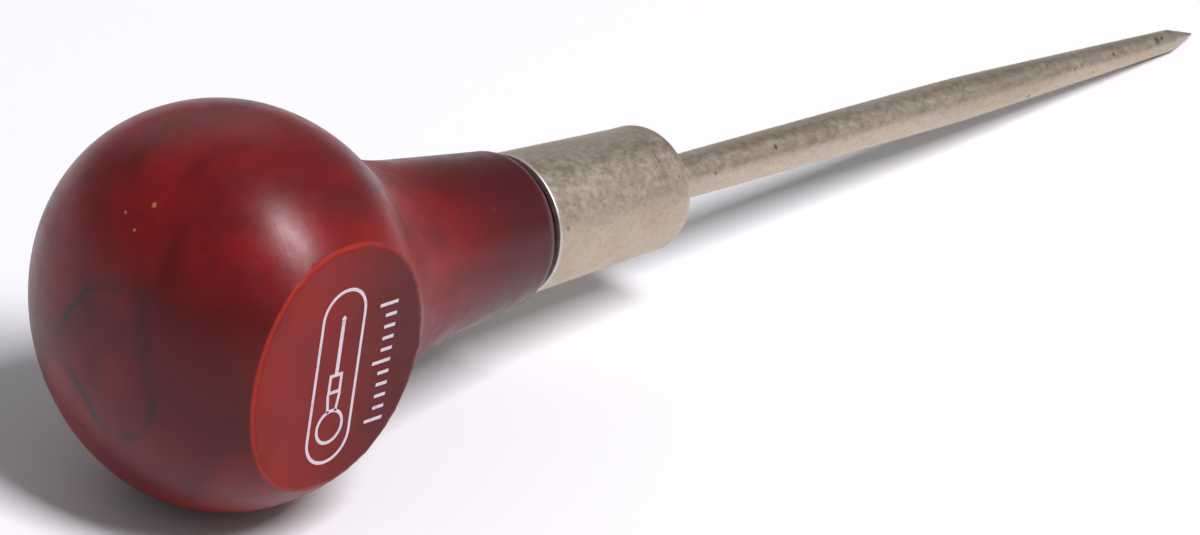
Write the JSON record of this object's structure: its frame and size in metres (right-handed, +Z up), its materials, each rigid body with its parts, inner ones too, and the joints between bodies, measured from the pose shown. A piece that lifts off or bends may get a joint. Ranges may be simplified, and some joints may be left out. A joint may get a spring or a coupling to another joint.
{
  "type": "scratch awl",
  "caption": "Scratch awl with a round stained wooden handle that has an anti-roll flat, a plated ferrule and a slim tapering steel blade.",
  "frame": {"origin": "on the bench, under the middle of the box that the awl fills as it lies", "axes": "+X towards the point of the blade, +Z up from the bench; the flat on the ball looks along -Y"},
  "size_m": [0.153, 0.033, 0.0372],
  "materials": {
    "stained_wood": "satin lacquer over dark red stain",
    "plated_ferrule": "worn satin nickel plating",
    "plated_blade": "worn satin nickel plating",
    "mark_ink": "thin printed ink"
  },
  "bodies": {
    "root": {"handle": "stained_wood", "ferrule": "plated_ferrule", "blade": "plated_blade"}
  },
  "joints": []
}
